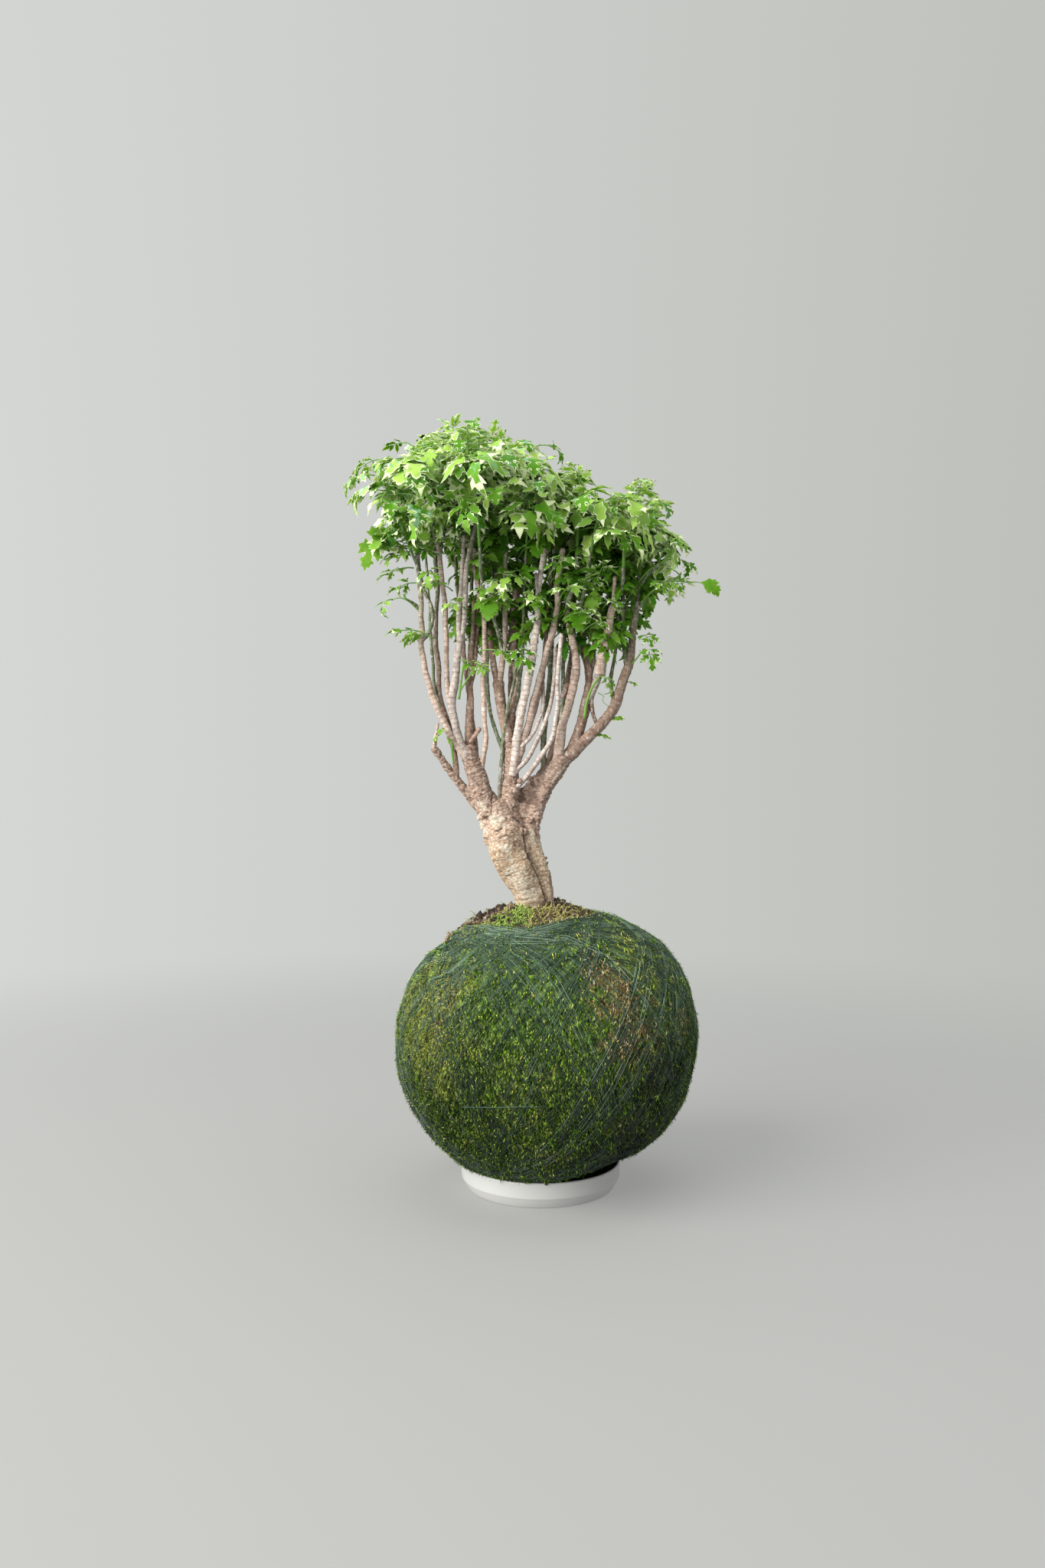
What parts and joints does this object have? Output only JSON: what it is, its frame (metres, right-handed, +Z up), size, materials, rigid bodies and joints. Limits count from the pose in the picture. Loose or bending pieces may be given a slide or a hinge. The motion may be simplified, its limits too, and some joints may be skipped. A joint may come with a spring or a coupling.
{
  "type": "kokedama moss ball plant",
  "caption": "Kokedama: a many-stemmed aralia with a leafy crown, rooted in a soil ball that is wrapped in moss, bound with thread and seated in a white saucer.",
  "frame": {"origin": "centre of the saucer's flat underside, which is what the plant rests on", "axes": "+Z up through the ball and the crown, -Y towards the viewer of the front, +X to the right of the front"},
  "size_m": [0.2994, 0.261, 0.6283],
  "materials": {
    "saucer": "white gloss glaze",
    "soil": "moist dark potting soil, matt",
    "moss": "green living moss, matt",
    "tuft": "bright green moss tuft, matt",
    "thread": "dark blue-green sewing thread, satin",
    "bark": "pale brown ringed bark, matt",
    "leaf": "green leaves with cream edges, satin"
  },
  "bodies": {
    "root": {"saucer": "saucer", "soil_core": "soil", "moss_layer": "moss", "mound_moss": "tuft", "thread_winding": "thread", "trunk": "bark", "shoot_outer_left": "leaf", "shoot_hooked": "leaf", "shoot_dark_left": "leaf", "shoot_green_left": "leaf", "shoot_thin_left_a": "leaf", "shoot_thin_left_b": "leaf", "shoot_pale_left_b": "leaf", "shoot_brown_left_b": "leaf", "shoot_brown_left_c": "leaf", "shoot_thin_inner": "leaf", "shoot_thick_inner_a": "leaf", "shoot_thick_inner_b": "leaf", "shoot_slant_inner": "leaf", "shoot_middle_dark_top": "leaf", "shoot_middle_brown": "leaf", "shoot_middle_green": "leaf", "shoot_front_green": "leaf", "shoot_right_dark": "leaf", "shoot_right_pale_top": "leaf", "shoot_right_fork": "leaf", "shoot_right_brown": "leaf", "shoot_right_branch": "leaf", "shoot_sweep_right": "leaf", "shoot_sweep_fork": "leaf", "shoot_tall_top": "leaf", "shoot_green_right": "leaf", "shoot_arm_right": "leaf", "shoot_arm_upper": "leaf", "shoot_arm_left": "leaf", "shoot_back_left": "leaf", "shoot_back_middle": "leaf", "shoot_back_right": "leaf", "shoot_back_far_right": "leaf"}
  },
  "joints": []
}
